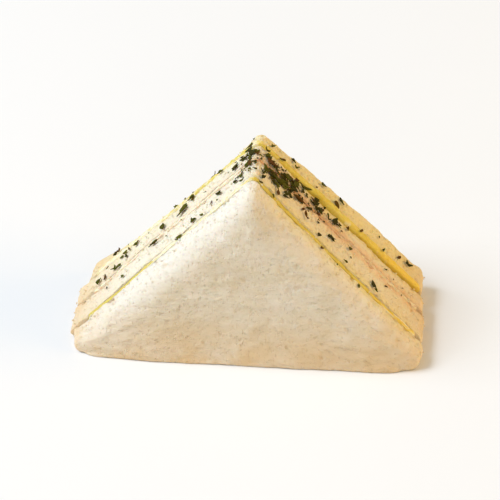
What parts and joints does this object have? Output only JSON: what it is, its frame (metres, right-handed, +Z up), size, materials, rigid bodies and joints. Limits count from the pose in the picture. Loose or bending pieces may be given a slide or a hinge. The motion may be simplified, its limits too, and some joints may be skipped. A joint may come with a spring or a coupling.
{
  "type": "ham and cheese sandwich",
  "caption": "Crustless triangular sandwich quarter of soft white bread with ham and cheese in layers, standing on its long side with its point up, its cut sides strewn with chopped herbs.",
  "frame": {"origin": "middle of the foot, under the centre of the sandwich's box", "axes": "+X along the foot from the left tip to the right one, +Y from the front slice to the rear slice, +Z up to the point"},
  "size_m": [0.1044, 0.0456, 0.0554],
  "materials": {
    "bread": "soft, matte, finely pored white bread crumb",
    "cheese": "smooth, slightly waxy sliced cheese",
    "ham": "moist, fine-grained cooked ham",
    "parsley": "chopped dark green herb leaves, dull"
  },
  "bodies": {
    "root": {"bread_front": "bread", "cheese_front": "cheese", "bread_middle_front": "bread", "ham": "ham", "bread_middle_rear": "bread", "cheese_rear": "cheese", "bread_rear": "bread"}
  },
  "joints": []
}
